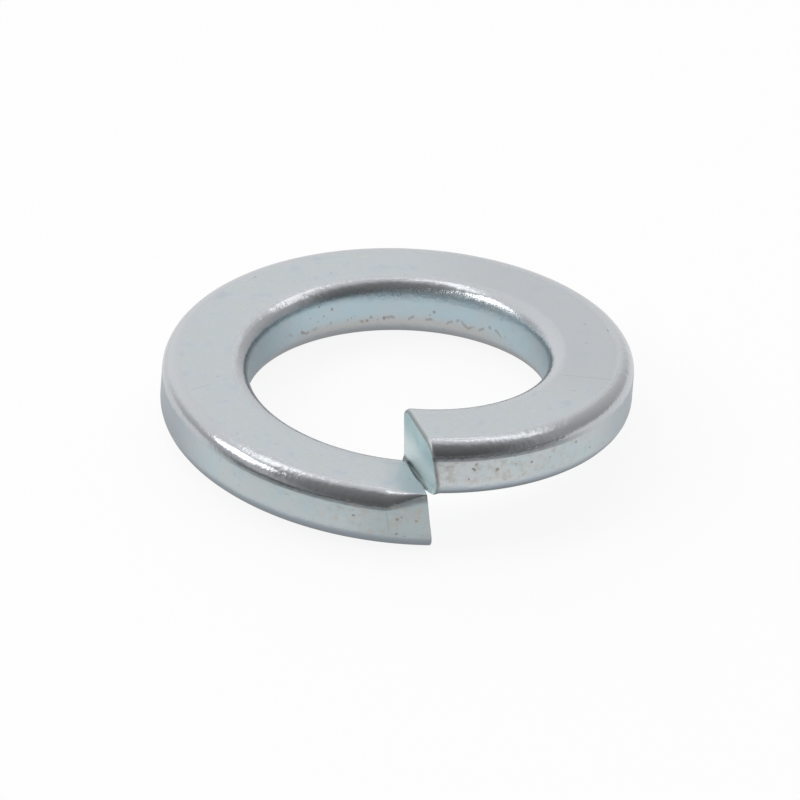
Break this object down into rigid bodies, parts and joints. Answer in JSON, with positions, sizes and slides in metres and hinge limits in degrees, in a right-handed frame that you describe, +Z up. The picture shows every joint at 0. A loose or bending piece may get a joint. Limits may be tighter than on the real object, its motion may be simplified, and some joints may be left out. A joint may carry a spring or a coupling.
{
  "type": "spring lock washer",
  "caption": "Helical spring lock washer: one turn of rounded rectangular bar, cut on a slant, with one end raised above the other.",
  "frame": {"origin": "on the bore's axis, level with the low end's lowest edge, where the washer meets the ground", "axes": "+Z up along the bore's axis, -Y towards the cut at the front, +X towards the raised end"},
  "size_m": [0.0392, 0.0392, 0.0101],
  "materials": {
    "zinc_steel": "bright zinc plating, satin on the bearing faces and polished on the rounded corners"
  },
  "bodies": {
    "root": {"spring_washer": "zinc_steel"}
  },
  "joints": []
}
